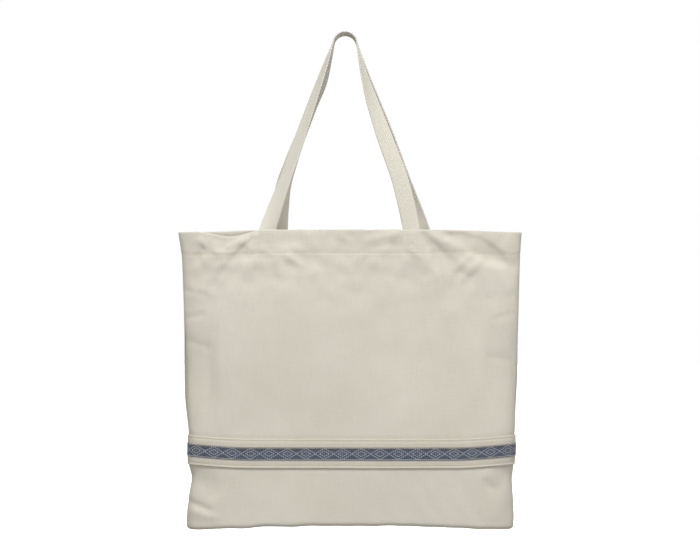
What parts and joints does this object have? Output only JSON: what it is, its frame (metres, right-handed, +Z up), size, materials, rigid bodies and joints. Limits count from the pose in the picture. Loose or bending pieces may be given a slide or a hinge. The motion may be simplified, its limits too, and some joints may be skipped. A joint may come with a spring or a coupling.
{
  "type": "canvas tote bag",
  "caption": "Open-topped canvas tote bag with boxed corners, a turned hem, a patterned ribbon on a canvas band and twin webbing handles gathered over a hook.",
  "frame": {"origin": "the top of the curve that a hook's rod fills, where both handles hang on it", "axes": "+Z up, -Y the front of the bag, +X to the right seen from the front"},
  "size_m": [0.497, 0.0878, 0.7172],
  "materials": {
    "canvas": "matte natural cotton canvas, plain weave",
    "band": "matte natural cotton canvas, folded strip",
    "webbing": "matte natural cotton webbing, ribbed",
    "ribbon": "slate blue jacquard ribbon with a paler diamond pattern, slight sheen",
    "thread": "natural cotton thread"
  },
  "bodies": {
    "bag": {"front_panel": "canvas", "back_panel": "canvas", "left_side_seam": "canvas", "right_side_seam": "canvas", "bottom_seam": "canvas", "left_corner_seam": "canvas", "right_corner_seam": "canvas", "front_band": "band", "back_band": "band", "front_ribbon": "ribbon", "back_ribbon": "ribbon", "front_left_handle_end": "webbing", "front_right_handle_end": "webbing", "back_left_handle_end": "webbing", "back_right_handle_end": "webbing", "left_side_overlock": "thread", "right_side_overlock": "thread", "bottom_overlock": "thread", "left_corner_overlock": "thread", "right_corner_overlock": "thread", "front_hem_stitching": "thread", "back_hem_stitching": "thread", "front_band_stitching": "thread", "back_band_stitching": "thread", "front_ribbon_stitching": "thread", "back_ribbon_stitching": "thread", "front_left_box_stitching": "thread", "front_right_box_stitching": "thread", "back_left_box_stitching": "thread", "back_right_box_stitching": "thread"},
    "front_handle": {"front_handle": "webbing"},
    "back_handle": {"back_handle": "webbing"}
  },
  "joints": [
    {"name": "front_handle_swing", "type": "hinge", "parent": "bag", "child": "front_handle", "pos_m": [0, -0.01944, -0.285], "axis": [1, 0, 0], "range_deg": [0, 170]},
    {"name": "back_handle_swing", "type": "hinge", "parent": "bag", "child": "back_handle", "pos_m": [0, 0.01944, -0.285], "axis": [-1, 0, 0], "range_deg": [0, 170]}
  ]
}
